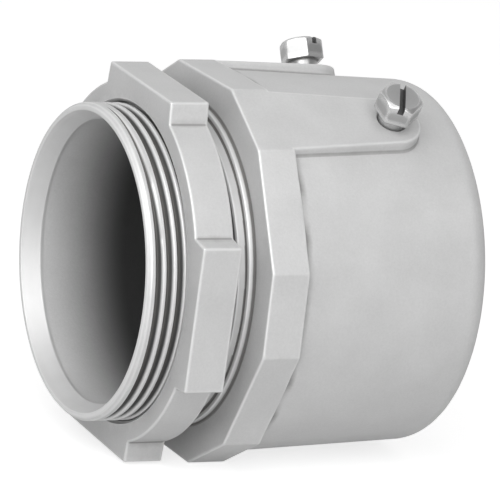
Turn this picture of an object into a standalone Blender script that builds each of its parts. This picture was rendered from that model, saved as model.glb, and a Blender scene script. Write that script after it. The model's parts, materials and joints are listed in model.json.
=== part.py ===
"""Set screw conduit connector, three inch trade size: cast body, locknut and two slotted hex set screws.

The connector's own axis is X: the threaded nipple's mouth is at x = 0 and the tube socket opens at
the far end. Every piece is modelled round that axis and carried by one empty, which stands the body
on a wrench flat of its flange with the middle of its box over the origin. Lengths are in metres.
"""

from math import acos, cos, hypot, pi, radians, sin, sqrt, tan

import bmesh
import bpy
from mathutils import Matrix, Vector

MM = 0.001

# Tube socket
TUBE_OD = 88.9 * MM
TUBE_CLEARANCE = 0.6 * MM
SOCKET_DEPTH = 53.5 * MM
SOCKET_LEAD_IN = 0.8 * MM
BARREL_WALL_AT_FLANGE = 8.25 * MM
BARREL_WALL_AT_END = 6.15 * MM
BODY_LENGTH = 100.5 * MM
END_ROUND_AXIAL = 5.5 * MM
END_ROUND_RADIAL = 4.2 * MM
END_ROUND_STEPS = 6

# Throat that the wires pass through
NIPPLE_WALL = 2.9 * MM
MOUTH_LIP = 1.2 * MM
THROAT_BEVEL_DEPTH = 5.0 * MM
TUBE_STOP_ROUND = 1.2 * MM
TUBE_STOP_STEPS = 4

# Threaded nipple, eight threads to the inch
THREAD_PITCH = 3.175 * MM
THREAD_CREST_R = 43.9 * MM
THREAD_DEPTH = 1.7 * MM
THREAD_ROOT_FLAT = 0.4 * MM
THREAD_HALF_ANGLE = radians(30)
THREAD_START = 2.6 * MM
THREAD_RUN_OUT = 1.6 * MM
THREAD_FADE_TURNS = 0.2
MOUTH_CHAMFER = 1.0 * MM
NIPPLE_LENGTH = 31.0 * MM
COLLAR_RISE = 1.7 * MM
COLLAR_HEIGHT = 2.0 * MM

# Twelve-sided wrench flange: six wide flats, just proud of the barrel, and six narrow ones
FLANGE_FLAT_RISE = 0.18 * MM
FLANGE_NARROW_HALF_ANGLE = radians(12.1)
FLANGE_THICKNESS = 11.3 * MM

# Set screw pads, each one level with a narrow flat of the flange
PAD_ANGLE = radians(30)
PAD_END_R = 8.6 * MM
PAD_END_STEPS = 14
SCREW_STATION = 76.0 * MM

# Locknut
NUT_FRONT = 10.9 * MM
NUT_THICKNESS = 11.5 * MM
NUT_LUGS = 4
NUT_WALL = 6.0 * MM
NUT_LUG_FLAT_RISE = 1.5 * MM
NUT_LUG_HALF_WIDTH = 20.4 * MM
NUT_STEP_LEAN = radians(3.3)
NUT_TURN = radians(2.2)
NUT_RECESS_STEPS = 8
NUT_BORE_CHAMFER = 0.8 * MM

# Set screws, 5/16 inch with eighteen threads to the inch
SCREW_PITCH = 1.411 * MM
SCREW_SHANK_R = 4.0 * MM
SCREW_SHANK_LENGTH = 12.7 * MM
SCREW_TIP_CHAMFER = 0.9 * MM
HEAD_ACROSS_FLATS = 11.11 * MM
HEAD_HEIGHT = 6.2 * MM
HEAD_CHAMFER_SLOPE = radians(30)
HEAD_TOP_R = 4.9 * MM
HEAD_SLOT_WIDTH = 1.7 * MM
HEAD_SLOT_DEPTH = 2.2 * MM
HOLE_CHAMFER = 0.6 * MM
FRONT_SCREW_TURNS_BACK = 2
BACK_SCREW_TURNS_BACK = 2
FRONT_HEAD_TURN = radians(-22)
BACK_HEAD_TURN = radians(18)

# Gaps between pieces that touch, and how finely round forms are divided
RUNNING_GAP = 0.3 * MM
CUT_MARGIN = 1.0 * MM
JOIN_DEPTH = 2.0 * MM
ROUND_STEPS = 64
SCREW_STEPS = 24

# Sizes that follow from those above
SOCKET_R = TUBE_OD / 2 + TUBE_CLEARANCE
BARREL_R_AT_FLANGE = SOCKET_R + BARREL_WALL_AT_FLANGE
BARREL_R_AT_END = SOCKET_R + BARREL_WALL_AT_END
TUBE_STOP = BODY_LENGTH - SOCKET_DEPTH
FLANGE_BACK = NIPPLE_LENGTH + FLANGE_THICKNESS
FLANGE_WIDE_HALF_ANGLE = pi / 6 - FLANGE_NARROW_HALF_ANGLE
REST_HEIGHT = BARREL_R_AT_FLANGE + FLANGE_FLAT_RISE
FLANGE_CORNER_R = REST_HEIGHT / cos(FLANGE_WIDE_HALF_ANGLE)
PAD_FLAT_R = FLANGE_CORNER_R * cos(FLANGE_NARROW_HALF_ANGLE)
PAD_HALF_WIDTH_AT_FLANGE = FLANGE_CORNER_R * sin(FLANGE_NARROW_HALF_ANGLE)
THREAD_ROOT_R = THREAD_CREST_R - THREAD_DEPTH
THROAT_R = THREAD_ROOT_R - NIPPLE_WALL
THROAT_MOUTH_R = THREAD_CREST_R - MOUTH_CHAMFER - MOUTH_LIP
COLLAR_R = THREAD_CREST_R + COLLAR_RISE
NUT_BORE_R = THREAD_CREST_R + RUNNING_GAP
NUT_RECESS_R = NUT_BORE_R + NUT_WALL
NUT_LUG_FLAT_R = NUT_RECESS_R + NUT_LUG_FLAT_RISE
SCREW_HOLE_R = SCREW_SHANK_R + RUNNING_GAP


def material(name, colour, roughness):
    """A plain metal: its colour in linear light and its roughness."""
    mat = bpy.data.materials.new(name)
    mat.use_nodes = True
    shader = mat.node_tree.nodes["Principled BSDF"]
    shader.inputs["Base Color"].default_value = (*colour, 1.0)
    shader.inputs["Metallic"].default_value = 0.9
    shader.inputs["Roughness"].default_value = roughness
    return mat


def new_object(name, bm, mat=None):
    """Turn a bmesh into an object whose faces point outwards, shaded smooth with crisp edges."""
    bmesh.ops.recalc_face_normals(bm, faces=bm.faces)
    mesh = bpy.data.meshes.new(name)
    bm.to_mesh(mesh)
    bm.free()
    mesh.shade_smooth()
    mesh.set_sharp_from_angle(angle=radians(30))
    if mat:
        mesh.materials.append(mat)
    obj = bpy.data.objects.new(name, mesh)
    bpy.context.scene.collection.objects.link(obj)
    return obj


def carry(obj, parent, matrix=None):
    """Hang an object on the empty that carries the connector, at a place in the connector's frame."""
    obj.parent = parent
    if matrix is not None:
        obj.matrix_local = matrix
    return obj


def combine(target, tool, operation):
    """Cut, join or intersect the target with a hidden tool object that stays editable."""
    tool.hide_render = True
    tool.display_type = "WIRE"
    modifier = target.modifiers.new(tool.name, "BOOLEAN")
    modifier.operation = operation
    modifier.solver = "EXACT"
    modifier.object = tool


def turned_bar(profile, steps, axis):
    """Spin (along, radius) points once round an axis and close both ends with flat discs."""
    bm = bmesh.new()
    side = Vector((0, 0, 1)) if axis.x else Vector((1, 0, 0))
    line = [bm.verts.new(axis * along + side * radius) for along, radius in profile]
    edges = [bm.edges.new(pair) for pair in zip(line, line[1:])]
    bmesh.ops.spin(bm, geom=line + edges, cent=(0, 0, 0), axis=axis, angle=2 * pi,
                   steps=steps, use_merge=True, use_duplicate=False)
    rims = [edge for edge in bm.edges if edge.is_boundary]
    bmesh.ops.holes_fill(bm, edges=rims, sides=0)
    return bm


def prism(outline, offset):
    """Extrude a flat closed outline by an offset."""
    bm = bmesh.new()
    face = bm.faces.new([bm.verts.new(point) for point in outline])
    grown = bmesh.ops.extrude_face_region(bm, geom=[face])
    moved = [item for item in grown["geom"] if isinstance(item, bmesh.types.BMVert)]
    bmesh.ops.translate(bm, verts=moved, vec=offset)
    return bm


def on_circle(x, radius, angle):
    """A point at an angle from the top of the connector, turning towards its front, -Y."""
    return Vector((x, -radius * sin(angle), radius * cos(angle)))


def arc(start, end, steps):
    """Evenly spaced values from start to end, both included."""
    return [start + (end - start) * step / steps for step in range(steps + 1)]


def body_blank():
    """The casting's turned outside: bevelled mouth, nipple, collar, drafted barrel and round far rim."""
    rim_start = BODY_LENGTH - END_ROUND_AXIAL
    profile = [
        (0, THREAD_CREST_R - MOUTH_CHAMFER),
        (MOUTH_CHAMFER, THREAD_CREST_R),
        (NIPPLE_LENGTH - COLLAR_HEIGHT, THREAD_CREST_R),
        (NIPPLE_LENGTH - COLLAR_HEIGHT, COLLAR_R),
        (FLANGE_BACK - JOIN_DEPTH, COLLAR_R),
        (FLANGE_BACK - JOIN_DEPTH, BARREL_R_AT_FLANGE),
        (FLANGE_BACK, BARREL_R_AT_FLANGE),
    ]
    for turn in arc(0, pi / 2, END_ROUND_STEPS):
        profile.append((rim_start + END_ROUND_AXIAL * sin(turn),
                        BARREL_R_AT_END - END_ROUND_RADIAL * (1 - cos(turn))))
    return turned_bar(profile, ROUND_STEPS, Vector((1, 0, 0)))


def flange_prism():
    """Twelve-sided flange with a wide flat underneath and narrow flats at the pads' angles."""
    outline = []
    for narrow in range(6):
        middle = PAD_ANGLE + narrow * pi / 3
        for side in (-1, 1):
            outline.append(on_circle(NIPPLE_LENGTH, FLANGE_CORNER_R, middle + side * FLANGE_NARROW_HALF_ANGLE))
    return prism(outline, (FLANGE_THICKNESS, 0, 0))


def pad_prism():
    """One raised pad lying in its own plane: it narrows from the flange to a round end at the screw.

    Its frame has x along the connector, y across the pad and z out of it, with z = 0 on the flat.
    """
    reach = SCREW_STATION - FLANGE_BACK
    slant = acos(PAD_END_R / hypot(reach, PAD_HALF_WIDTH_AT_FLANGE))
    lean = acos(reach / hypot(reach, PAD_HALF_WIDTH_AT_FLANGE))
    tangent = pi - slant - lean
    start = FLANGE_BACK - JOIN_DEPTH
    outline = [
        (start, -PAD_HALF_WIDTH_AT_FLANGE, 0),
        (FLANGE_BACK, -PAD_HALF_WIDTH_AT_FLANGE, 0),
    ]
    for turn in arc(-tangent, tangent, PAD_END_STEPS):
        outline.append((SCREW_STATION + PAD_END_R * cos(turn), PAD_END_R * sin(turn), 0))
    outline.append((FLANGE_BACK, PAD_HALF_WIDTH_AT_FLANGE, 0))
    outline.append((start, PAD_HALF_WIDTH_AT_FLANGE, 0))
    middle_of_wall = (SOCKET_R + BARREL_R_AT_END) / 2
    return prism(outline, (0, 0, middle_of_wall - PAD_FLAT_R))


def throat_and_socket():
    """The hollow: bevelled mouth, throat, rounded tube stop and the socket with its lead-in."""
    throat_end = TUBE_STOP - TUBE_STOP_ROUND
    bevel_slope = (THROAT_MOUTH_R - THROAT_R) / THROAT_BEVEL_DEPTH
    profile = [
        (-CUT_MARGIN, THROAT_MOUTH_R + bevel_slope * CUT_MARGIN),
        (THROAT_BEVEL_DEPTH, THROAT_R),
    ]
    for turn in arc(0, pi / 2, TUBE_STOP_STEPS):
        profile.append((throat_end + TUBE_STOP_ROUND * sin(turn), THROAT_R + TUBE_STOP_ROUND * (1 - cos(turn))))
    profile += [
        (TUBE_STOP, SOCKET_R),
        (BODY_LENGTH - SOCKET_LEAD_IN, SOCKET_R),
        (BODY_LENGTH + CUT_MARGIN, SOCKET_R + SOCKET_LEAD_IN + CUT_MARGIN),
    ]
    return turned_bar(profile, ROUND_STEPS, Vector((1, 0, 0)))


def thread_groove():
    """The helical groove between the threads: a blunt V swept along a right-handed helix.

    The V has its flat at the root radius and flanks at the thread angle. Over the first and last
    part of a turn the section rises out of the crest, so that the groove fades in and out.
    """
    end = NIPPLE_LENGTH - COLLAR_HEIGHT - THREAD_RUN_OUT
    turns = (end - THREAD_START) / THREAD_PITCH
    steps = round(turns * ROUND_STEPS)
    over_crest = 0.35 * MM
    half_root = THREAD_ROOT_FLAT / 2
    half_top = half_root + (THREAD_DEPTH + over_crest) * tan(THREAD_HALF_ANGLE)
    section = [
        (-half_root, THREAD_ROOT_R),
        (half_root, THREAD_ROOT_R),
        (half_top, THREAD_CREST_R + over_crest),
        (-half_top, THREAD_CREST_R + over_crest),
    ]
    bm = bmesh.new()
    rings = []
    for step in range(steps + 1):
        turned = step / ROUND_STEPS
        nearest_end = min(turned, turns - turned)
        lift = THREAD_DEPTH * max(0.0, 1 - nearest_end / THREAD_FADE_TURNS)
        ring = [bm.verts.new(on_circle(THREAD_START + turned * THREAD_PITCH + along, radius + lift,
                                       2 * pi * turned)) for along, radius in section]
        rings.append(ring)
    for first, second in zip(rings, rings[1:]):
        for corner in range(len(section)):
            following = (corner + 1) % len(section)
            bm.faces.new((first[corner], first[following], second[following], second[corner]))
    bm.faces.new(rings[0])
    bm.faces.new(rings[-1])
    return bm


def screw_hole():
    """One tapped hole with a small countersink, in the pad's own frame."""
    profile = [
        (SOCKET_R / 2 - PAD_FLAT_R, SCREW_HOLE_R),
        (-HOLE_CHAMFER, SCREW_HOLE_R),
        (CUT_MARGIN, SCREW_HOLE_R + HOLE_CHAMFER + CUT_MARGIN),
    ]
    return turned_bar(profile, SCREW_STEPS, Vector((0, 0, 1)))


def pad_place(angle, station=0.0):
    """The frame of the pad at an angle from the top: z out of the flat, x along the connector."""
    return (Matrix.Translation((station, 0, 0)) @ Matrix.Rotation(angle, 4, "X")
            @ Matrix.Translation((0, 0, PAD_FLAT_R)))


def connector_body(empty, mat):
    """The one-piece casting, built up from its turned blank by joins and cuts."""
    body = carry(new_object("connector_body", body_blank(), mat), empty)
    combine(body, carry(new_object("flange_tool", flange_prism()), empty), "UNION")
    pads = (("front", PAD_ANGLE), ("back", -PAD_ANGLE))
    for side, angle in pads:
        pad = carry(new_object("pad_tool_" + side, pad_prism()), empty, pad_place(angle))
        combine(body, pad, "UNION")
    combine(body, carry(new_object("hollow_tool", throat_and_socket()), empty), "DIFFERENCE")
    combine(body, carry(new_object("thread_tool", thread_groove()), empty), "DIFFERENCE")
    for side, angle in pads:
        hole = carry(new_object("hole_tool_" + side, screw_hole()), empty, pad_place(angle, SCREW_STATION))
        combine(body, hole, "DIFFERENCE")
    return body


def locknut(empty, mat):
    """Cast locknut: four flat-topped lugs with sloping steps between recessed arcs.

    It stops where it was screwed to, so its first lug is turned a little from the top.
    """
    corner_r = hypot(NUT_LUG_FLAT_R, NUT_LUG_HALF_WIDTH)
    corner_angle = acos(NUT_LUG_FLAT_R / corner_r)
    foot_angle = corner_angle + NUT_STEP_LEAN
    spacing = 2 * pi / NUT_LUGS
    outline = []
    for lug in range(NUT_LUGS):
        middle = NUT_TURN + lug * spacing
        outline.append(on_circle(NUT_FRONT, corner_r, middle - corner_angle))
        outline.append(on_circle(NUT_FRONT, corner_r, middle + corner_angle))
        for angle in arc(middle + foot_angle, middle + spacing - foot_angle, NUT_RECESS_STEPS):
            outline.append(on_circle(NUT_FRONT, NUT_RECESS_R, angle))
    nut = carry(new_object("locknut", prism(outline, (NUT_THICKNESS, 0, 0)), mat), empty)
    back = NUT_FRONT + NUT_THICKNESS
    bore = [
        (NUT_FRONT - CUT_MARGIN, NUT_BORE_R + NUT_BORE_CHAMFER + CUT_MARGIN),
        (NUT_FRONT + NUT_BORE_CHAMFER, NUT_BORE_R),
        (back - NUT_BORE_CHAMFER, NUT_BORE_R),
        (back + CUT_MARGIN, NUT_BORE_R + NUT_BORE_CHAMFER + CUT_MARGIN),
    ]
    tool = carry(new_object("nut_bore_tool", turned_bar(bore, ROUND_STEPS, Vector((1, 0, 0)))), empty)
    combine(nut, tool, "DIFFERENCE")
    return nut


def hexagon(across_flats, height, turn):
    """Corner points of a hexagon at a height, with flats facing across the connector before the turn."""
    corner_r = across_flats / sqrt(3)
    return [Vector((corner_r * cos(turn + k * pi / 3), corner_r * sin(turn + k * pi / 3), height))
            for k in range(6)]


def set_screw(name, angle, turns_back, turn, empty, mat):
    """A slotted hex head screw on its own axis, backed out by whole turns from a seated head."""
    under_head = turns_back * SCREW_PITCH + RUNNING_GAP
    tip = under_head - SCREW_SHANK_LENGTH
    head_top = under_head + HEAD_HEIGHT
    place = pad_place(angle, SCREW_STATION)
    shank_profile = [
        (tip, SCREW_SHANK_R - SCREW_TIP_CHAMFER),
        (tip + SCREW_TIP_CHAMFER, SCREW_SHANK_R),
        (under_head + JOIN_DEPTH, SCREW_SHANK_R),
    ]
    shank = turned_bar(shank_profile, SCREW_STEPS, Vector((0, 0, 1)))
    screw = carry(new_object(name, prism(hexagon(HEAD_ACROSS_FLATS, under_head, turn), (0, 0, HEAD_HEIGHT)), mat),
                  empty, place)
    corner_r = HEAD_ACROSS_FLATS / sqrt(3) + CUT_MARGIN
    chamfer_drop = (corner_r - HEAD_TOP_R) * tan(HEAD_CHAMFER_SLOPE)
    chamfer_profile = [
        (under_head - CUT_MARGIN, corner_r),
        (head_top - chamfer_drop, corner_r),
        (head_top, HEAD_TOP_R),
    ]
    chamfer = turned_bar(chamfer_profile, SCREW_STEPS * 2, Vector((0, 0, 1)))
    combine(screw, carry(new_object(name + "_chamfer_tool", chamfer), empty, place), "INTERSECT")
    combine(screw, carry(new_object(name + "_shank_tool", shank), empty, place), "UNION")
    slot = prism([
        Vector((-HEAD_SLOT_WIDTH / 2, -corner_r, head_top - HEAD_SLOT_DEPTH)),
        Vector((HEAD_SLOT_WIDTH / 2, -corner_r, head_top - HEAD_SLOT_DEPTH)),
        Vector((HEAD_SLOT_WIDTH / 2, corner_r, head_top - HEAD_SLOT_DEPTH)),
        Vector((-HEAD_SLOT_WIDTH / 2, corner_r, head_top - HEAD_SLOT_DEPTH)),
    ], (0, 0, HEAD_SLOT_DEPTH + CUT_MARGIN))
    turned_place = place @ Matrix.Rotation(turn, 4, "Z")
    combine(screw, carry(new_object(name + "_slot_tool", slot), empty, turned_place), "DIFFERENCE")
    return screw


def main():
    for obj in list(bpy.data.objects):
        bpy.data.objects.remove(obj, do_unlink=True)
    casting = material("plated_casting", (0.60, 0.60, 0.60), 0.42)
    nut_metal = material("plated_locknut", (0.52, 0.52, 0.52), 0.45)
    screw_metal = material("plated_steel", (0.50, 0.50, 0.51), 0.30)
    empty = bpy.data.objects.new("connector", None)
    bpy.context.scene.collection.objects.link(empty)
    empty.location = (-BODY_LENGTH / 2, 0, REST_HEIGHT)
    connector_body(empty, casting)
    locknut(empty, nut_metal)
    set_screw("set_screw_front", PAD_ANGLE, FRONT_SCREW_TURNS_BACK, FRONT_HEAD_TURN, empty, screw_metal)
    set_screw("set_screw_back", -PAD_ANGLE, BACK_SCREW_TURNS_BACK, BACK_HEAD_TURN, empty, screw_metal)


main()
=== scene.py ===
import json
from math import acos, asin, atan, hypot, pi, radians

import bmesh
import bpy
import numpy as np
from mathutils import Matrix, Vector


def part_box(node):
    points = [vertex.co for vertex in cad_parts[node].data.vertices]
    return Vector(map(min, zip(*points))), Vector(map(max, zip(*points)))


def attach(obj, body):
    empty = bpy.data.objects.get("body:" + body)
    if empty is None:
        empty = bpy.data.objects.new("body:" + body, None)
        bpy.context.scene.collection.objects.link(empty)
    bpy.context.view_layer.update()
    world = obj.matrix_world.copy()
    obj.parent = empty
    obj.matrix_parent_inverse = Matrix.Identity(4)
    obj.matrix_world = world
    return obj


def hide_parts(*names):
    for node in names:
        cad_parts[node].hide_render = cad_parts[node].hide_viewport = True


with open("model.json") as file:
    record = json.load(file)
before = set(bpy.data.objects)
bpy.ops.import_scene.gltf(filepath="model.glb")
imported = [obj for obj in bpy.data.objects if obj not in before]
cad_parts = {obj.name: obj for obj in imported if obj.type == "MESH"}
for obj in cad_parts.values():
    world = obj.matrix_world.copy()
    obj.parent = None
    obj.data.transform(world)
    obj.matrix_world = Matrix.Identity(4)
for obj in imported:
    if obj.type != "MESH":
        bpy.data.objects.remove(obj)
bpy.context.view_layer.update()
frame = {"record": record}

# Driving sizes in metres: distances along the connector's axis from its threaded mouth, or out from it
MM = 0.001
THROAT_R = 39.3 * MM
THROAT_MOUTH_R = 41.7 * MM
THROAT_BEVEL_DEPTH = 5.0 * MM
TUBE_STOP_ROUND = 1.2 * MM
THREAD_PITCH = 3.175 * MM
THREAD_CREST_R = 43.9 * MM
THREAD_DEPTH = 1.7 * MM
THREAD_ROOT_FLAT = 0.4 * MM
THREAD_FLANK_RISE = 1.732
THREAD_START = 2.6 * MM
THREAD_RUN_OUT = 1.6 * MM
THREAD_FADE_TURNS = 0.2
THREAD_ROOT_SOFTNESS = 0.3 * MM
THREAD_CREST_SOFTNESS = 0.2 * MM
MOUTH_CHAMFER = 1.0 * MM
NIPPLE_LENGTH = 31.0 * MM
COLLAR_R = 45.6 * MM
COLLAR_HEIGHT = 2.0 * MM
SOCKET_R = 45.05 * MM
SOCKET_DEPTH = 53.5 * MM
SOCKET_LEAD_IN = 0.8 * MM
BARREL_R_AT_FLANGE = 53.3 * MM
BARREL_R_AT_END = 51.2 * MM
END_ROUND_AXIAL = 5.5 * MM
END_ROUND_RADIAL = 4.2 * MM
FLANGE_NARROW_HALF_ANGLE = radians(12.1)
FLANGE_THICKNESS = 11.3 * MM
PAD_ANGLE = radians(30)
PAD_END_R = 8.6 * MM
PAD_DRAFT = radians(3)
PAD_RAMP = 4.2 * MM
PAD_RAMP_DROP = 0.05 * MM
PAD_RAMP_SHARE = 0.9
FOOT_END = radians(62)
SCREW_STATION = 76.0 * MM
SCREW_HOLE_R = 4.1 * MM
HOLE_CHAMFER = 0.35 * MM
NUT_BORE_R = 44.2 * MM
NUT_BORE_CHAMFER = 0.8 * MM
NUT_LUGS = 4
NUT_LUG_HALF_WIDTH = 20.4 * MM
NUT_LUG_FLAT_R = 51.7 * MM
NUT_RECESS_R = 50.2 * MM
NUT_STEP_LEAN = radians(3.3)
NUT_TURN = radians(2.2)
NUT_EDGE_ROUND = 0.4 * MM
NUT_CORNER_ROUND = 0.7 * MM
NUT_FOOT_ROUND = 0.8 * MM
NUT_FOOT_RUN = 3 * MM
NUT_THREAD_CLEARANCE = 0.12 * MM
NUT_THREAD_BLUNTING = 0.4 * MM
NUT_THREAD_LEAD = 1.3 * MM
SCREW_PITCH = 1.411 * MM
SCREW_SHANK_R = 4.0 * MM
SCREW_SHANK_LENGTH = 12.7 * MM
SCREW_NECK = 4.0 * MM
SCREW_NECK_FILLET = 0.3 * MM
SCREW_THREAD_DEPTH = 0.75 * MM
SCREW_FLANK_RISE = 1.15
SCREW_TIP_CHAMFER = 0.9 * MM
SCREW_SEAT_GAP = 0.3 * MM
SCREW_TURNS_BACK = 2
HEAD_ACROSS_FLATS = 11.11 * MM
HEAD_CORNER_CUT = 0.15 * MM
HEAD_CORNER_SOFTNESS = 0.2 * MM
HEAD_HEIGHT = 6.2 * MM
HEAD_TOP_R = 4.9 * MM
HEAD_TOP_STEP = 0.03 * MM
HEAD_RIM = 0.2 * MM
HEAD_CHAMFER_SLOPE = radians(30)
HEAD_SLOT_WIDTH = 1.7 * MM
HEAD_SLOT_DEPTH = 2.2 * MM
HEAD_TURN_FRONT = radians(-22)
HEAD_TURN_BACK = radians(18)

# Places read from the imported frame
body_low, body_high = (Vector(corner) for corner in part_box("connector_body"))
nut_low, nut_high = (Vector(corner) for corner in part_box("locknut"))
ORIGIN = Vector((body_low.x, 0.0, (nut_low.z + nut_high.z) / 2))
CONNECTOR_AXIS = ORIGIN, Vector((1, 0, 0))
BODY_LENGTH = body_high.x - body_low.x
PAD_FLAT_R = body_high.y
FLANGE_FLAT_R = ORIGIN.z - body_low.z
FLANGE_BACK = NIPPLE_LENGTH + FLANGE_THICKNESS
NUT_FRONT = nut_low.x - ORIGIN.x
NUT_BACK = nut_high.x - ORIGIN.x
NUT_TRAVEL = next(joint["range_m"] for joint in frame["record"]["behaviour"]["joints"]
                  if joint["name"] == "locknut_travel")
TUBE_STOP = BODY_LENGTH - SOCKET_DEPTH
THREAD_ROOT_R = THREAD_CREST_R - THREAD_DEPTH

# How far the real casting's edges are softened. The rows of a flat stop a SUPPORT short of its edges.
EDGE_ROUND = 0.45 * MM
FINE_EDGE = 0.25 * MM
SUPPORT = 0.5 * MM
CAST_FILLET = 1.1 * MM
CORNER_SOFTNESS = 0.3 * MM
THROAT_SOFTNESS = 0.12 * MM
BACK_EDGE_SHARE = 0.45
BACK_FILLET_SHARE = 0.5

# Margins: points closer than WELD become one, a pad stands a little proud of what it is joined to, so
# that no faces coincide, a cutter reaches past what it cuts, and the shortest edges count less in turns
WELD = 0.004 * MM
PAD_PROUD = 0.01 * MM
FOOT_PROUD = 0.02 * MM
CUTTER_REACH = 1 * MM
SHORTEST_EDGE = 0.1 * MM

# How finely the round forms are divided
WIDE_FLAT_COLUMNS = 26
NARROW_FLAT_COLUMNS = 17
BESIDE_CORNER = np.radians([-0.7, -0.3, 0.0, 0.3, 0.7])
BESIDE_GROOVE = np.array([0.0, 0.14, 0.22, 0.32, 0.75, 1.1, 1.18, 1.25, 1.42]) * MM
MOUTH_CONE_ROWS = np.array([0.5, 0.8, 0.9, 1.0, 1.1, 1.2, 1.3]) * MM
SCREW_ROW = 0.1 * MM
SCREW_COLUMNS = 120
HOLE_COLUMNS = 48

# Above these angles, in degrees, an edge is shaded as a crease
CASTING_CREASE = 35
NUT_CREASE = 40
SCREW_CREASE = 30

# Material slots of the casting, of which the locknut has the first two, and of the slot in a screw
CAST, TURNED, PAD, THROAT, THREAD = range(5)
SHADED_SLOT = 1

# The plated metals: a skin's tone runs between two levels, and marks on edges and in hollows change grey and
# roughness
TONE_LOW, TONE_HIGH = 0.3, 0.7
DARK_PATCH, LIGHT_PATCH = 0.93, 1.07
# Outer edges are lighter, as worn plating and a painted highlight; hollows are darker, as grime and painted
# shade
WORN_AND_HIGHLIGHT_COLOUR = (0.78, 0.78, 0.78, 1)
WORN_AND_HIGHLIGHT_SHARE = 0.55
RUBBED_ROUGHNESS = -0.12
GRIME_AND_SHADE_COLOUR = (0.16, 0.155, 0.15, 1)
GRIME_ROUGHNESS = 0.2

# Studio levels, where one is full white
STUDIO_FRONT = 0.35
STUDIO_BACK = 0.85
SKY_LOW = 0.12
SKY_HIGH = 0.32
FLOOR_GREY = 0.6
FLOOR_GLOW = 0.7
FLOOR_MIRRORED = 0.35
FLOOR_HALF_SIDE = 3.0

# The camera: its turns about the object, the point it looks past and how far off that point it stands
CAMERA_AZIMUTH = radians(-27.223)
CAMERA_ELEVATION = radians(14.362)
CAMERA_ROLL = radians(6.826)
CAMERA_FOCUS = 48 * MM
CAMERA_DISTANCE = 1.3
CAMERA_RIGHT = 3.442 * MM
CAMERA_UP = 2.827 * MM
CAMERA_LENS_MM = 334.6
CAMERA_SENSOR_MM = 36


def soft_min(a, b, width):
    """The lower of two values, with the crease between them rounded over a width."""
    overlap = np.clip(1 - np.abs(a - b) / width, 0, None)
    return np.minimum(a, b) - overlap ** 2 * width / 4


def soft_max(a, b, width):
    """The higher of two values, with the crease between them rounded over a width."""
    return -soft_min(-a, -b, width)


def quarter(count):
    """Sines and cosines of evenly spaced turns from none to a quarter, one to a row."""
    turn = np.linspace(0, pi / 2, count)[:, None]
    return np.sin(turn), np.cos(turn)


def stations(*values):
    """Distances along the axis, one to a row."""
    return np.concatenate([np.atleast_1d(value) for value in values])[:, None]


def turned(along, radius, angle):
    """Points in the row frame: a distance along the axis, and a radius at an angle from the top that
    grows towards the front. Each may change from row to row, from column to column or both."""
    along, radius, angle = np.broadcast_arrays(along, radius, angle)
    return np.stack([ORIGIN.x + along, -radius * np.sin(angle), ORIGIN.z + radius * np.cos(angle)], -1)


def add_object(name, data):
    """An object for a mesh, a lamp or a camera, linked to the scene."""
    obj = bpy.data.objects.new(name, data)
    bpy.context.scene.collection.objects.link(obj)
    return obj


def grid_faces(patches):
    """Four neighbouring points of a grid make a face: the point numbers of every grid's faces, and the
    material slot of each face."""
    faces, slots, start = [], [], 0
    for grid, slot in patches:
        number = start + np.arange(grid[..., 0].size).reshape(grid.shape[:2])
        corners = number[:-1, :-1], number[:-1, 1:], number[1:, 1:], number[1:, :-1]
        faces.append(np.stack(corners, -1).reshape(-1, 4))
        slots.append(np.full(len(faces[-1]), slot))
        start += number.size
    return np.vstack(faces), np.concatenate(slots)


def closed_surface(name, patches):
    """One closed mesh from grids of points whose borders coincide. Points that coincide become one,
    which closes seams, poles and the joints between grids, and faces are turned outwards. Each grid
    comes with the material slot of its faces."""
    points = np.vstack([grid.reshape(-1, 3) for grid, _ in patches])
    faces, slots = grid_faces(patches)
    mesh = bpy.data.meshes.new(name)
    mesh.vertices.add(len(points))
    mesh.vertices.foreach_set("co", points.ravel())
    mesh.loops.add(faces.size)
    mesh.loops.foreach_set("vertex_index", faces.ravel())
    mesh.polygons.add(len(faces))
    mesh.polygons.foreach_set("loop_start", np.arange(0, faces.size, 4))
    mesh.polygons.foreach_set("material_index", slots)
    mesh.update(calc_edges=True)
    bm = bmesh.new()
    bm.from_mesh(mesh)
    bmesh.ops.remove_doubles(bm, verts=bm.verts, dist=WELD)
    bmesh.ops.recalc_face_normals(bm, faces=bm.faces)
    bm.to_mesh(mesh)
    bm.free()
    return add_object(name, mesh)


def pole(row):
    """A row of points that all lie at the middle of another row, which closes that end."""
    return np.broadcast_to(row[:-1].mean(0), row.shape)[None]


def capped(rows):
    """Rows with both ends closed by poles."""
    return np.concatenate([pole(rows[0]), rows, pole(rows[-1])])


def join_or_cut(obj, tool, operation):
    """Union or difference of a piece with a closed tool, baked into its mesh; the tool is removed."""
    modifier = obj.modifiers.new(operation.title(), "BOOLEAN")
    modifier.operation = operation
    modifier.solver = "EXACT"
    modifier.object = tool
    shapes = bpy.context.evaluated_depsgraph_get()
    obj.data = bpy.data.meshes.new_from_object(obj.evaluated_get(shapes), depsgraph=shapes)
    obj.modifiers.clear()
    bpy.data.objects.remove(tool, do_unlink=True)


def mesh_values(collection, name, kind=float, width=1):
    """A property of all of a mesh's vertices, edges, faces or face corners as an array."""
    values = np.empty(len(collection) * width, kind)
    collection.foreach_get(name, values)
    return values.reshape(-1, width) if width > 1 else values


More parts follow.
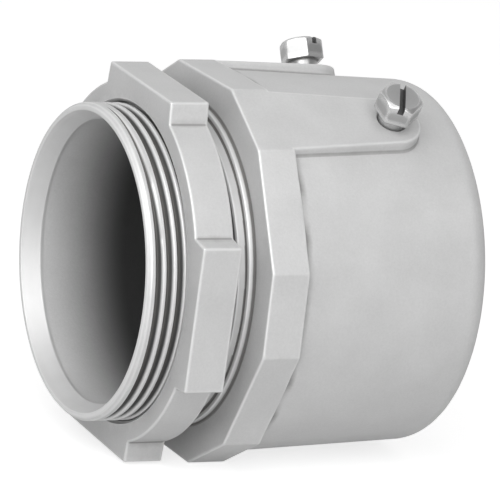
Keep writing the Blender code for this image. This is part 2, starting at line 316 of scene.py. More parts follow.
def mark_turns(mesh):
    """Attribute turn: at each face corner, how sharply the surface turns at its point. It is the change
    of the normal along each edge that meets the point, over that edge's length, averaged, for one
    millimetre: near one on rounded outer edges, below nothing in hollows and almost nothing on flats.
    Edges under a tenth of a millimetre count less, so that a step too low to feel stays clean. It is
    marked before pieces are joined or cut, so that no new edge adds to it."""
    points = mesh_values(mesh.vertices, "co", float, 3)
    normals = mesh_values(mesh.vertex_normals, "vector", float, 3)
    ends = mesh_values(mesh.edges, "vertices", int, 2)
    corner = mesh_values(mesh.loops, "vertex_index", int)
    span = points[ends[:, 1]] - points[ends[:, 0]]
    length = np.maximum(np.linalg.norm(span, axis=1), SHORTEST_EDGE)
    change = ((normals[ends[:, 1]] - normals[ends[:, 0]]) * span).sum(1) / length ** 2
    met = np.bincount(ends.ravel(), minlength=len(points))
    turn = np.bincount(ends.ravel(), np.repeat(change, 2), len(points)) / np.maximum(met, 1)
    at_corners = np.clip(turn * MM, -1, 1)[corner]
    mesh.attributes.new("turn", "FLOAT", "CORNER").data.foreach_set("value", at_corners)


def crease_round(mesh, slot):
    """Mark sharp every edge where the faces of one material slot end."""
    face_size = mesh_values(mesh.polygons, "loop_total", int)
    inside = np.repeat(mesh_values(mesh.polygons, "material_index", int) == slot, face_size)
    sides = np.bincount(mesh_values(mesh.loops, "edge_index", int), inside, len(mesh.edges))
    sharp = mesh_values(mesh.edges, "use_edge_sharp", bool)
    mesh.edges.foreach_set("use_edge_sharp", sharp | (sides == 1))


def finish_mesh(obj, crease):
    """Smooth shading with creases above an angle in degrees."""
    obj.data.shade_smooth()
    obj.data.set_sharp_from_angle(angle=radians(crease))


def thread_phase(along, angle):
    """How many turns of the nipple's helix lie between its start and a point: whole in its grooves."""
    return (along - THREAD_START) / THREAD_PITCH - angle / (2 * pi)


def helix_radius(along, angle):
    """Radius of an endless right-hand thread: blunt V grooves between flat crests, all edges softened."""
    phase = thread_phase(along, angle)
    off_groove = np.abs(phase - np.round(phase)) * THREAD_PITCH
    flank = THREAD_ROOT_R + (off_groove - THREAD_ROOT_FLAT / 2) * THREAD_FLANK_RISE
    groove = soft_max(flank, THREAD_ROOT_R, THREAD_ROOT_SOFTNESS)
    return soft_min(groove, THREAD_CREST_R, THREAD_CREST_SOFTNESS)


def turns_from_ends(along, angle):
    """How many turns the nearest groove has run since its start, and how many are left to its end."""
    run = np.round(thread_phase(along, angle)) + angle / (2 * pi)
    groove_end = NIPPLE_LENGTH - COLLAR_HEIGHT - THREAD_RUN_OUT
    return run, (groove_end - THREAD_START) / THREAD_PITCH - run


def nipple_radius(along, angle):
    """The nipple's thread: the helix, whose groove rises out to the plain crest at its two ends."""
    nearer_end = np.minimum(*turns_from_ends(along, angle))
    lift = THREAD_DEPTH * np.clip(1 - nearer_end / THREAD_FADE_TURNS, 0, 1)
    return np.minimum(helix_radius(along, angle) + lift, THREAD_CREST_R)


def thread_patch(low, high, angle, radius_at):
    """A grid whose rows follow the thread. Its rows lie across each pitch, closest at the corners of
    groove and crest, and every row advances one pitch in a turn. Rows that would pass an end gather on
    its circle, and the last column meets the first one turn further on."""
    half = BESIDE_GROOVE / THREAD_PITCH
    across = np.concatenate([-half[:0:-1], half])
    lowest = np.floor((low - THREAD_START) / THREAD_PITCH - angle.max() / (2 * pi)) - 1
    highest = np.ceil((high - THREAD_START) / THREAD_PITCH - angle.min() / (2 * pi)) + 1
    phase = (np.arange(lowest, highest + 1)[:, None] + across).ravel()[:, None]
    along = np.clip(THREAD_START + THREAD_PITCH * (phase + angle / (2 * pi)), low, high)
    return turned(along, radius_at(along, angle), angle)


def flange_radius(angle, inset=0.0):
    """Distance from the axis to the twelve-sided outline: the nearer of the flats facing an angle,
    moved in by an inset, with the corners between wide and narrow flats softened. Insets one to a row
    give one outline to a row."""
    from_narrow = np.mod(angle - PAD_ANGLE + pi / 6, pi / 3) - pi / 6
    from_wide = np.mod(angle - PAD_ANGLE, pi / 3) - pi / 6
    narrow = (PAD_FLAT_R - inset) / np.cos(from_narrow)
    wide = (FLANGE_FLAT_R - inset) / np.cos(from_wide)
    return soft_min(narrow, wide, CORNER_SOFTNESS)


def barrel_radius(along):
    """The barrel's outside, drafted evenly from the flange to where its far rim starts to round."""
    share = (along - FLANGE_BACK) / (BODY_LENGTH - END_ROUND_AXIAL - FLANGE_BACK)
    return BARREL_R_AT_FLANGE + (BARREL_R_AT_END - BARREL_R_AT_FLANGE) * share


def body_angles():
    """The casting's column angles, once round: even between the flange's corners, closer on them."""
    corners = np.sort((PAD_ANGLE + np.arange(6)[:, None] * pi / 3
                       + np.array([-1, 1]) * FLANGE_NARROW_HALF_ANGLE).ravel())
    spans = np.diff(np.append(corners, corners[0] + 2 * pi))
    counts = np.where(spans > spans.mean(), WIDE_FLAT_COLUMNS, NARROW_FLAT_COLUMNS)
    between = [start + np.linspace(BESIDE_CORNER[-1], span + BESIDE_CORNER[0], count + 2)[1:-1]
               for start, span, count in zip(corners, spans, counts)]
    angle = np.sort(np.concatenate([(corners[:, None] + BESIDE_CORNER).ravel(), *between]))
    return np.append(angle, angle[0] + 2 * pi)


def rounded_lip(corner_r, outwards):
    """Rows round the edge between an end face and its forty-five degree cone: an eighth of a circle."""
    turn = np.linspace(0, pi / 4, 3)[:, None]
    along = FINE_EDGE * (1 - np.cos(turn))
    return along, corner_r + outwards * FINE_EDGE * (np.sin(turn) - np.tan(pi / 8))


def nipple_patches(angle):
    """Mouth lip, thread and collar: the lip's face with rounded edges, a cone, then the helical grid,
    then the collar with a hollow corner, a rounded edge and another hollow corner at the flange."""
    s, c = quarter(4)
    lip_outer = THREAD_CREST_R - MOUTH_CHAMFER
    cone = stations(MOUTH_CONE_ROWS)
    collar_face = NIPPLE_LENGTH - COLLAR_HEIGHT
    outer_along, outer_r = rounded_lip(lip_outer, 1)
    yield turned(FINE_EDGE * (1 - s), THROAT_MOUTH_R + 1.5 * FINE_EDGE * (1 - c), angle), TURNED
    yield turned(outer_along, outer_r, angle), TURNED
    yield turned(cone, soft_min(lip_outer + cone, THREAD_CREST_R, CORNER_SOFTNESS), angle), TURNED
    yield thread_patch(cone[-1, 0], collar_face - FINE_EDGE, angle, nipple_radius), THREAD
    yield turned(collar_face - FINE_EDGE * (1 - s), THREAD_CREST_R + FINE_EDGE * (1 - c), angle), TURNED
    yield turned(collar_face + EDGE_ROUND * (1 - c), COLLAR_R - EDGE_ROUND * (1 - s), angle), TURNED
    yield turned(NIPPLE_LENGTH - FINE_EDGE * (1 - s), COLLAR_R + FINE_EDGE * (1 - c), angle), TURNED


def flange_patches(angle):
    """Twelve-sided flange: its face, a rounded edge, the flats, then a rounded back edge and a fillet
    that both shrink where a flat hardly stands above the barrel."""
    s, c = quarter(6)
    outline = flange_radius(angle)
    rise = outline - BARREL_R_AT_FLANGE
    edge = np.minimum(EDGE_ROUND, rise * BACK_EDGE_SHARE)
    fillet = np.minimum(CAST_FILLET, rise * BACK_FILLET_SHARE)
    inner, outer = COLLAR_R + FINE_EDGE + SUPPORT, flange_radius(angle, EDGE_ROUND + SUPPORT)
    yield turned(NIPPLE_LENGTH, inner + (outer - inner) * stations(0, 0.5, 1), angle), CAST
    front_edge = flange_radius(angle, EDGE_ROUND * (1 - s))
    yield turned(NIPPLE_LENGTH + EDGE_ROUND * (1 - c), front_edge, angle), CAST
    flats = stations(NIPPLE_LENGTH + EDGE_ROUND + SUPPORT, np.linspace(NIPPLE_LENGTH, FLANGE_BACK, 5)[1:-1],
                     FLANGE_BACK - EDGE_ROUND - SUPPORT)
    yield turned(flats, outline, angle), CAST
    yield turned(FLANGE_BACK - edge * (1 - s), outline - edge * (1 - c), angle), CAST
    along = FLANGE_BACK + fillet * (1 - c)
    yield turned(along, barrel_radius(along) + fillet * (1 - s), angle), CAST


def barrel_patches(angle):
    """Drafted barrel, an elliptical quarter round at its far rim and the end face's inner edge. The
    barrel's rows stop short of the fillet and of the rim, where rows are close."""
    rim_start = BODY_LENGTH - END_ROUND_AXIAL
    s, c = quarter(12)
    side = stations(np.linspace(FLANGE_BACK + 2.5 * MM, rim_start - 1.5 * MM, 26))
    yield turned(side, barrel_radius(side), angle), CAST
    yield turned(rim_start + END_ROUND_AXIAL * s, BARREL_R_AT_END - END_ROUND_RADIAL * (1 - c), angle), CAST
    inner_along, inner_r = rounded_lip(SOCKET_R + SOCKET_LEAD_IN, -1)
    yield turned(BODY_LENGTH - inner_along, inner_r, angle), TURNED


def hollow_patches(angle):
    """Lead-in cone, socket, tube stop with a rounded inner edge, throat and its bevelled mouth. Rows
    are close where the bevel meets the throat."""
    s, c = quarter(4)
    socket = stations(np.linspace(BODY_LENGTH - SOCKET_LEAD_IN, TUBE_STOP + FINE_EDGE + SUPPORT, 16))
    yield turned(socket, SOCKET_R, angle), TURNED
    yield turned(TUBE_STOP + FINE_EDGE * (1 - s), SOCKET_R - FINE_EDGE * (1 - c), angle), TURNED
    s, c = quarter(8)
    stop_r = THROAT_R + TUBE_STOP_ROUND * (1 - s)
    yield turned(TUBE_STOP - TUBE_STOP_ROUND * (1 - c), stop_r, angle), THROAT
    throat = stations(np.linspace(TUBE_STOP - 2 * MM, THROAT_BEVEL_DEPTH + 1 * MM, 14))
    yield turned(throat, THROAT_R, angle), THROAT
    bevel = stations(np.linspace(THROAT_BEVEL_DEPTH + 0.15 * MM, THROAT_BEVEL_DEPTH - 0.3 * MM, 5),
                     np.linspace(THROAT_BEVEL_DEPTH - 1 * MM, FINE_EDGE * 2, 4))
    cone = THROAT_R + (THROAT_MOUTH_R - THROAT_R) * (1 - bevel / THROAT_BEVEL_DEPTH)
    yield turned(bevel, soft_max(cone, THROAT_R, THROAT_SOFTNESS), angle), TURNED


def joined(patches):
    """Patches with a strip between each and the next, and between the last and the first."""
    strips = []
    for (before, _), (after, slot) in zip(patches, patches[1:] + patches[:1]):
        strips.append((np.stack([before[-1], after[0]]), slot))
    return patches + strips


def faces_mouth(outward):
    """Where a plan's outline looks straight towards the mouth."""
    return outward[:, 0] < -0.99


def pad_plan():
    """Plan of a pad, seen along its screw: a round end, straight sides that widen to the flange's
    corners and a front edge inside the flange. Gives the outline as points (along, across), its
    outward directions, and the border of its flat, which lies inside the outline."""
    half_width = PAD_FLAT_R * np.tan(FLANGE_NARROW_HALF_ANGLE) - EDGE_ROUND
    to_corner = hypot(SCREW_STATION - FLANGE_BACK, half_width)
    tangent = pi - acos(PAD_END_R / to_corner) - asin(half_width / to_corner)
    turns = np.linspace(-tangent, tangent, 41)
    end = np.stack([SCREW_STATION + PAD_END_R * np.cos(turns), PAD_END_R * np.sin(turns)], -1)
    side = np.linspace(end[-1], (FLANGE_BACK - FINE_EDGE, half_width), 26)[1:]
    side_out = np.broadcast_to((side[0] - end[-1])[::-1] * (1, -1), side.shape)
    front = np.linspace((FLANGE_BACK - PAD_RAMP, half_width), (FLANGE_BACK - PAD_RAMP, -half_width), 13)
    outline = np.vstack([end, side, front, side[::-1] * (1, -1)])
    outward = np.vstack([end - (SCREW_STATION, 0), side_out, np.broadcast_to((-1.0, 0.0), front.shape),
                         side_out * (1, -1)])
    outward = outward / np.linalg.norm(outward, axis=1, keepdims=True)
    inner = outline - outward * (EDGE_ROUND + SUPPORT)
    narrower = front * (0, 1 - (EDGE_ROUND + SUPPORT) / half_width)
    inner[faces_mouth(outward)] = narrower + (FLANGE_BACK - EDGE_ROUND, 0)
    return tuple(np.vstack([part, part[:1]]) for part in (outline, outward, inner))


def on_pad(points, pad_angle):
    """Points (along, across, out) of a pad's own frame, turned to its angle in the row frame."""
    along, across, out = points[..., 0], points[..., 1], points[..., 2]
    y = across * np.cos(pad_angle) - out * np.sin(pad_angle)
    z = across * np.sin(pad_angle) + out * np.cos(pad_angle)
    return np.stack([ORIGIN.x + along, y, ORIGIN.z + z], -1)


def above_barrel(plan, clear):
    """How far out a plan's points lie on the barrel, plus a clearance: the root of the barrel's radius
    squared less the distance across squared."""
    radius = barrel_radius(np.maximum(plan[..., 0], FLANGE_BACK))
    return np.sqrt(radius ** 2 - plan[..., 1] ** 2) + clear


def at_height(plan, height):
    """A plan's points (along, across), each with its distance out added."""
    plan, height = np.broadcast_arrays(plan, height[..., None])
    return np.concatenate([plan, height[..., :1]], -1)


def pad_edge(outline, outward, inner, top):
    """A pad's edge: a quarter circle from its flat down to its drafted wall. Inside the flange it is a
    long low ramp, so that the pad's flat runs into the flange's flat with no step."""
    ramp = faces_mouth(outward)
    run = np.where(ramp, PAD_RAMP - EDGE_ROUND, EDGE_ROUND + SUPPORT)
    kept = np.where(ramp, PAD_RAMP_SHARE, EDGE_ROUND / (EDGE_ROUND + SUPPORT))
    drop = np.where(ramp, PAD_RAMP_DROP, EDGE_ROUND)
    turn = np.linspace(0, pi / 2 - PAD_DRAFT, 6)[:, None]
    share = run * kept * (1 - np.sin(turn)) / run
    return at_height(outline + (inner - outline) * share[..., None], top - drop * (1 - np.cos(turn)))


def pad_foot(outline, outward, top):
    """A pad's wall and its hollow foot, whose height follows the barrel and which stops short of lying
    flat on it, so that it meets the barrel in a clean line. A skirt goes on down into the barrel."""
    draft = np.clip(top - above_barrel(outline, CAST_FILLET), 0, None) * np.tan(PAD_DRAFT)
    turn = np.linspace(PAD_DRAFT, FOOT_END, 8)[:, None]
    flare = outline + outward * (draft + CAST_FILLET * (1 - np.cos(turn)))[..., None]
    rise = CAST_FILLET * (np.sin(FOOT_END) - np.sin(turn)) + FOOT_PROUD
    skirt = flare[-1] + outward * SUPPORT
    buried = at_height(skirt, above_barrel(skirt, FOOT_PROUD - SUPPORT / np.tan(FOOT_END)))
    base = at_height(skirt, np.full(len(skirt), (SOCKET_R + BARREL_R_AT_END) / 2))
    return [at_height(flare, above_barrel(flare, rise)), buried[None], base[None]]


def pad_shell(name, pad_angle):
    """One raised pad: its plan is carried down a profile of flat top, edge, wall, foot and skirt."""
    outline, outward, inner = pad_plan()
    top = PAD_FLAT_R + PAD_PROUD
    flat = at_height(inner, np.full(len(inner), top))
    edge = pad_edge(outline, outward, inner, top)
    rows = np.concatenate([flat[None], edge, *pad_foot(outline, outward, top)])
    pad = closed_surface(name, [(on_pad(capped(rows), pad_angle), PAD)])
    mark_turns(pad.data)
    return pad


def about_screw(out, radius, turn):
    """Rings about a screw's axis, one to a row: a radius at a turn, and a distance out."""
    out, radius, turn = np.broadcast_arrays(out, radius, turn)
    return np.stack([SCREW_STATION + radius * np.cos(turn), radius * np.sin(turn), out], -1)


def screw_hole(name, pad_angle):
    """A round cutter along a screw's axis, widening to a countersink at the pad's flat."""
    profile = [(SOCKET_R * 0.8, SCREW_HOLE_R), (PAD_FLAT_R - HOLE_CHAMFER, SCREW_HOLE_R),
               (PAD_FLAT_R + CUTTER_REACH, SCREW_HOLE_R + HOLE_CHAMFER + CUTTER_REACH)]
    out, radius = np.array(profile).T[..., None]
    rows = about_screw(out, radius, np.linspace(0, 2 * pi, HOLE_COLUMNS + 1))
    return closed_surface(name, [(on_pad(capped(rows), pad_angle), TURNED)])


def connector_casting():
    """The one-piece casting: its turned and faceted section, both pads and both tapped holes."""
    angle = body_angles()
    section = [*nipple_patches(angle), *flange_patches(angle), *barrel_patches(angle), *hollow_patches(angle)]
    casting = closed_surface("connector_casting", joined(section))
    mark_turns(casting.data)
    for side, pad_angle in (("front", PAD_ANGLE), ("back", -PAD_ANGLE)):
        join_or_cut(casting, pad_shell("pad_" + side, pad_angle), "UNION")
        join_or_cut(casting, screw_hole("hole_" + side, pad_angle), "DIFFERENCE")
    finish_mesh(casting, CASTING_CREASE)
    crease_round(casting.data, PAD)
    return casting


def rounded_corner(corner, before, after, radius, count):
    """Points on a curve that rounds a corner between two neighbours: along a parabola that leaves each
    side where an arc of the radius would touch it. Works on arrays of corners, one to a row."""
    into, away = before - corner, after - corner
    half = np.abs(np.angle(away / into)) / 2
    cut = np.minimum(radius / np.tan(half), 0.4 * np.minimum(np.abs(into), np.abs(away)))
    start, end = corner + into / np.abs(into) * cut, corner + away / np.abs(away) * cut
    share = np.linspace(0, 1, count)
    near, middle, far = (1 - share) ** 2, 2 * share * (1 - share), share ** 2
    return near * start[:, None] + middle * corner[:, None] + far * end[:, None]


def nut_outline():
    """The locknut's outline as complex numbers, up and towards the front: for each lug a flat between
    rounded corners, steps that lean out to rounded feet, and an arc to the next lug. Gives points once
    round and their outward directions."""
    corner_r = hypot(NUT_LUG_FLAT_R, NUT_LUG_HALF_WIDTH)
    corner = acos(NUT_LUG_FLAT_R / corner_r)
    foot = corner + NUT_STEP_LEAN
    spacing = 2 * pi / NUT_LUGS
    lug = np.exp(1j * (NUT_TURN + spacing * np.arange(NUT_LUGS)))
    corner_in, corner_out = corner_r * np.exp(-1j * corner) * lug, corner_r * np.exp(1j * corner) * lug
    foot_in, foot_out = NUT_RECESS_R * np.exp(-1j * foot) * lug, NUT_RECESS_R * np.exp(1j * foot) * lug
    foot_run = NUT_FOOT_RUN / NUT_RECESS_R
    between = np.linspace(foot + foot_run / 2, spacing - foot - foot_run / 2, 22)
    arc = np.exp(1j * between) * NUT_RECESS_R * lug[:, None]
    flat = corner_in[:, None] + (corner_out - corner_in)[:, None] * np.linspace(0.04, 0.96, 17)
    points = np.hstack([
        rounded_corner(foot_in, foot_in * np.exp(-1j * foot_run), corner_in, NUT_FOOT_ROUND, 5),
        rounded_corner(corner_in, foot_in, corner_out, NUT_CORNER_ROUND, 6),
        flat,
        rounded_corner(corner_out, corner_in, foot_out, NUT_CORNER_ROUND, 6),
        rounded_corner(foot_out, corner_out, foot_out * np.exp(1j * foot_run), NUT_FOOT_ROUND, 5),
        arc]).ravel()
    tangent = np.roll(points, -1) - np.roll(points, 1)
    outward = -1j * tangent / np.abs(tangent)
    return np.append(points, points[0]), np.append(outward, outward[0])


def nut_thread_radius(along, angle):
    """The locknut's inner thread: the nipple's helix at a clearance, its crests blunted. It fades to
    the plain bore where its travel would take it past the nipple's grooves, is cut back to the plain
    bore near each face and is opened by a chamfer at the face itself."""
    run, left = turns_from_ends(along, angle)
    room = np.minimum(run + NUT_TRAVEL[0] / THREAD_PITCH, left - NUT_TRAVEL[1] / THREAD_PITCH)
    height = np.clip(room / THREAD_FADE_TURNS - 1, 0, 1)
    blunt_r = THREAD_ROOT_R + NUT_THREAD_BLUNTING
    thread = np.maximum(helix_radius(along, angle) + NUT_THREAD_CLEARANCE, blunt_r)
    thread = NUT_BORE_R + (np.minimum(thread, NUT_BORE_R) - NUT_BORE_R) * height
    from_face = np.minimum(along - NUT_FRONT, NUT_BACK - along)
    lead = NUT_BORE_R - np.clip(from_face - NUT_THREAD_LEAD, 0, None)
    chamfer = NUT_BORE_R + NUT_BORE_CHAMFER - from_face
    return np.maximum(np.maximum(thread, lead), chamfer)


def locknut():
    """The locknut: its outline carried over the front face, round both rims and over the back face,
    and the bore's helical grid between the faces. A face's rows are close to its two edges."""
    outline, outward = nut_outline()
    angle = np.unwrap(np.angle(outline))
    bore = np.exp(1j * angle) * (NUT_BORE_R + NUT_BORE_CHAMFER)
    edge = NUT_EDGE_ROUND
    s, c = quarter(5)
    share = stations(0, 0.06, 0.5, 0.93)
    rim_in = outline - outward * edge * (1 - s)
    face = bore + (rim_in[0] - bore) * share
    side = stations(NUT_FRONT + edge + SUPPORT, (NUT_FRONT + NUT_BACK) / 2, NUT_BACK - edge - SUPPORT)
    upright = np.broadcast_to(outline, (len(side), len(outline)))
    place = np.vstack([face, rim_in, upright, rim_in[::-1], face[::-1]])
    along = np.vstack([0 * share + NUT_FRONT, NUT_FRONT + edge * (1 - c), side,
                       NUT_BACK - edge * (1 - c[::-1]), 0 * share + NUT_BACK])
    shell = np.stack([ORIGIN.x + along + 0 * place.real, -place.imag, ORIGIN.z + place.real], -1)
    thread = thread_patch(NUT_FRONT, NUT_BACK, angle, nut_thread_radius)
    nut = closed_surface("locknut_casting", [(shell, CAST), (thread, TURNED)])
    mark_turns(nut.data)
    finish_mesh(nut, NUT_CREASE)
    return nut


def hexagon_radius(turn):
    """Distance from a screw's axis to its head's outline: the flat facing a turn, with the corners
    between flats cut off and softened."""
    from_flat = np.mod(turn, pi / 3) - pi / 6
    corner_r = HEAD_ACROSS_FLATS / np.sqrt(3) - HEAD_CORNER_CUT
    return soft_min(HEAD_ACROSS_FLATS / 2 / np.cos(from_flat), corner_r, HEAD_CORNER_SOFTNESS)


def screw_thread_radius(out, turn, neck_end):
    """The shank below its neck: fine V grooves on a right-hand helix, which fade in over one turn."""
    phase = out / SCREW_PITCH - turn / (2 * pi)
    to_groove = np.abs(phase - np.round(phase)) * 2
    fade = np.clip((neck_end - out) / SCREW_PITCH, 0, 1)
    return SCREW_SHANK_R - SCREW_THREAD_DEPTH * fade * np.clip(1 - to_groove * SCREW_FLANK_RISE, 0, 1)


def head_profile(turn, under_head):
    """A screw's head as rows of distance out and radius: flat top, a cone that cuts the hexagon's
    corners to arcs, the flats and an undercut rim."""
    hexagon = hexagon_radius(turn)
    head_top = under_head + HEAD_HEIGHT
    s, c = quarter(4)
    slope = np.tan(HEAD_CHAMFER_SLOPE)
    cone = (hexagon - HEAD_TOP_R - HEAD_RIM) * stations(0, 0.33, 0.66, 1)
    cone_end = head_top - (hexagon - HEAD_TOP_R) * slope
    return [
        (head_top, stations(0.4, 0.8, 0.92) * HEAD_TOP_R),
        (head_top, stations(HEAD_TOP_R - HEAD_RIM)),
        (head_top - HEAD_TOP_STEP - cone * slope, HEAD_TOP_R + cone),
        (cone_end - HEAD_RIM * 0.6 * stations(0.5, 1.6), hexagon - HEAD_RIM * stations(0.2, 0)),
        (under_head + HEAD_HEIGHT * stations(0.5, 0.3), hexagon),
        (under_head + HEAD_RIM * (1 - s), hexagon - HEAD_RIM * (1 - c))]


def shank_profile(turn, under_head):
    """A screw's shank as rows of distance out and radius: a fillet under the head, a plain neck, the
    threaded length and a chamfered tip."""
    neck_end, tip = under_head - SCREW_NECK, under_head - SCREW_SHANK_LENGTH
    s, c = quarter(4)
    steps = int((neck_end - tip - SCREW_TIP_CHAMFER) / SCREW_ROW)
    threaded = stations(np.linspace(neck_end, tip + SCREW_TIP_CHAMFER, steps))
    tip_cone = stations(np.linspace(SCREW_TIP_CHAMFER - SCREW_ROW, SCREW_ROW, 6))
    tip_groove = screw_thread_radius(tip + tip_cone, turn, neck_end)
    return [
        (under_head - SCREW_NECK_FILLET * (1 - c), SCREW_SHANK_R + SCREW_NECK_FILLET * (1 - s)),
        (stations(np.linspace(under_head - 2 * SCREW_NECK_FILLET, neck_end + SCREW_ROW, 5)), SCREW_SHANK_R),
        (threaded, screw_thread_radius(threaded, turn, neck_end)),
        (tip + tip_cone, np.minimum(tip_groove, SCREW_SHANK_R - SCREW_TIP_CHAMFER + tip_cone)),
        (tip, stations(SCREW_SHANK_R - SCREW_TIP_CHAMFER - SCREW_ROW))]


def slot_cutter(name, pad_angle, head_turn, bottom):
    """A box as wide as a screwdriver's blade, across the head and open above it."""
    half, reach = HEAD_SLOT_WIDTH / 2, HEAD_ACROSS_FLATS
    corners = np.array([half + 1j * reach, -half + 1j * reach, -half - 1j * reach, half - 1j * reach])
    corners = np.append(corners, corners[0]) * np.exp(1j * head_turn)
    rows = np.stack([np.stack([SCREW_STATION + corners.real, corners.imag, np.full(5, out)], -1)
                     for out in (bottom, bottom + 2 * HEAD_SLOT_DEPTH)])
    return closed_surface(name, [(on_pad(capped(rows), pad_angle), SHADED_SLOT)])


def set_screw(name, pad_angle, head_turn):
    """A slotted hex head set screw on its pad, backed out by whole turns from a seated head."""
    under_head = PAD_FLAT_R + SCREW_SEAT_GAP + SCREW_TURNS_BACK * SCREW_PITCH
    turn = np.linspace(0, 2 * pi, SCREW_COLUMNS + 1)
    profile = head_profile(turn, under_head) + shank_profile(turn, under_head)
    rows = np.concatenate([about_screw(out, radius, turn + head_turn) for out, radius in profile])
    screw = closed_surface(name, [(on_pad(capped(rows), pad_angle), CAST)])
    mark_turns(screw.data)
    bottom = under_head + HEAD_HEIGHT - HEAD_SLOT_DEPTH
    join_or_cut(screw, slot_cutter(name + "_slot", pad_angle, head_turn, bottom), "DIFFERENCE")
    finish_mesh(screw, SCREW_CREASE)
    return screw


def node(tree, kind, *inputs, **settings):
    """Add a shader node with its properties, and set or link its inputs, given as name and value."""
    made = tree.nodes.new("ShaderNode" + kind)
    for key, value in settings.items():
        setattr(made, key, value)
    for socket, value in inputs:
        if isinstance(value, bpy.types.NodeSocket):
            tree.links.new(value, made.inputs[socket])
        else:
            made.inputs[socket].default_value = value
    return made


def shader_group(name, inputs, outputs):
    """An empty node group with named sockets: its tree, its input sockets and its output node."""
    tree = bpy.data.node_groups.new(name, "ShaderNodeTree")
    for socket, kind in inputs:
        tree.interface.new_socket(socket, in_out="INPUT", socket_type="NodeSocket" + kind)
    for socket, kind in outputs:
        tree.interface.new_socket(socket, in_out="OUTPUT", socket_type="NodeSocket" + kind)
    return tree, tree.nodes.new("NodeGroupInput").outputs, tree.nodes.new("NodeGroupOutput").inputs


def value_of(tree, operation, a, b=0.0, c=0.0):
    """One sum on two or three values, each a number or a socket."""
    made = node(tree, "Math", (0, a), (1, b), (2, c), operation=operation)
    return made.outputs[0]


def span_of(tree, value, low, high, to_low, to_high, change="LINEAR"):
    """A value carried from one range to another and held at its ends."""
    made = node(tree, "MapRange", ("Value", value), ("From Min", low), ("From Max", high),
                ("To Min", to_low), ("To Max", to_high), interpolation_type=change)
    return made.outputs[0]


def mix_of(tree, share, first, second):
    """Two colours mixed by the second one's share, each a value or a socket."""
    made = node(tree, "Mix", (0, share), (6, first), (7, second), data_type="RGBA")
    return made.outputs[2]


def grey_colour(level):
    """A plain grey."""
    return level, level, level, 1


def noise_of(tree, vector, size, detail=3.0, roughness=0.5):
    """Noise whose patches are about a size across, in metres."""
    made = node(tree, "TexNoise", ("Vector", vector), ("Scale", 1 / size), ("Detail", detail),
                ("Roughness", roughness))
    return made.outputs["Fac"]


def lines_of(tree, place, size, detail):
    """Noise that depends only on a distance, so that it lies in lines about a size apart, in metres."""
    made = node(tree, "TexNoise", ("W", place), ("Scale", 1 / size), ("Detail", detail),
                noise_dimensions="1D")
    return made.outputs["Fac"]


def axis_places(tree, vector):
    """The two places of a point about the local X axis: its distance along it and its distance out."""
    parts = node(tree, "SeparateXYZ", ("Vector", vector)).outputs
    z_squared = value_of(tree, "MULTIPLY", parts["Z"], parts["Z"])
    out_squared = value_of(tree, "MULTIPLY_ADD", parts["Y"], parts["Y"], z_squared)
    return {"along": parts["X"], "out": value_of(tree, "SQRT", out_squared)}


def skin_group(name):
    """An empty group for a metal's skin: a height for a bump and a tone, both worked out from a place."""
    return shader_group(name, [("Vector", "Vector")], [("Height", "Float"), ("Tone", "Float")])


def cast_grain_group():
    """Skin of a plated sand casting: fine pimples for a bump, and slow patches of tone."""
    tree, given, out = skin_group("cast_grain")
    coarse = noise_of(tree, given["Vector"], 1.1 * MM, detail=3.0, roughness=0.6)
    fine = noise_of(tree, given["Vector"], 0.42 * MM, detail=2.0)
    tree.links.new(value_of(tree, "MULTIPLY_ADD", fine, 0.5, coarse), out["Height"])
    patches = noise_of(tree, given["Vector"], 14 * MM, detail=4.0, roughness=0.55)
    speckle = noise_of(tree, given["Vector"], 0.6 * MM, detail=2.0)
    slow = value_of(tree, "MULTIPLY", patches, 0.55)
    tree.links.new(value_of(tree, "MULTIPLY_ADD", speckle, 0.45, slow), out["Tone"])
    return tree


def tool_lines_group():
    """Fine rings left by a cutting tool: lines that depend only on the distance along the local X axis
    plus the distance from it. The vector is taken from that axis."""
    tree, given, out = skin_group("tool_lines")
    places = axis_places(tree, given["Vector"])
    place = value_of(tree, "ADD", places["along"], places["out"])
    tree.links.new(lines_of(tree, place, 0.35 * MM, detail=3.0), out["Height"])
    bands = lines_of(tree, place, 2.5 * MM, detail=2.0)
    patches = noise_of(tree, given["Vector"], 9 * MM, detail=3.0)
    slow = value_of(tree, "MULTIPLY", patches, 0.6)
    tree.links.new(value_of(tree, "MULTIPLY_ADD", bands, 0.4, slow), out["Tone"])
    return tree


def wear_grime_shade_group():
    """Marks from the turn attribute, broken up by noise: lighter outer edges, worn plating and painted
    highlight; darker hollows, grime and painted shade.
    """
    tree, given, out = shader_group("wear_grime_shade", [("Vector", "Vector"), ("Turn", "Float")],
                                    [("Wear_and_highlight", "Float"), ("Grime_and_shade", "Float")])
    noise = noise_of(tree, given["Vector"], 3 * MM, detail=4.0, roughness=0.6)
    uneven = value_of(tree, "SUBTRACT", noise, 0.5)
    # Outer edges lighten, as worn plating and a painted highlight; hollows darken, as grime and painted shade
    rubbed_and_lit = value_of(tree, "MULTIPLY_ADD", uneven, 0.5, given["Turn"])
    soiled_and_shaded = value_of(tree, "MULTIPLY_ADD", uneven, 0.2, given["Turn"])
    tree.links.new(span_of(tree, rubbed_and_lit, 0.12, 0.55, 0.0, 1.0), out["Wear_and_highlight"])
    tree.links.new(span_of(tree, soiled_and_shaded, -0.06, -0.45, 0.0, 1.0), out["Grime_and_shade"])
    return tree


def plated_grey(tree, grey, tone, centred, painted_shade_depth):
    """A metal's grey, which shifts with its skin's tone. Where painted shade is given, the grey falls between
    two distances along or out from the axis to a share of itself, darker deeper in."""
    patch = span_of(tree, tone, TONE_LOW, TONE_HIGH, 0.0, 1.0)
    plain = mix_of(tree, patch, grey_colour(grey * DARK_PATCH), grey_colour(grey * LIGHT_PATCH))
    if not painted_shade_depth:
        return plain
    measure, start, end, share = painted_shade_depth
    depth = axis_places(tree, centred)[measure]
    # Painted shade: the grey darkens with depth along or out from the axis
    shaded_share = span_of(tree, depth, start, end, 0.0, 1.0, "SMOOTHSTEP")
    return mix_of(tree, shaded_share, plain, grey_colour(grey * share))


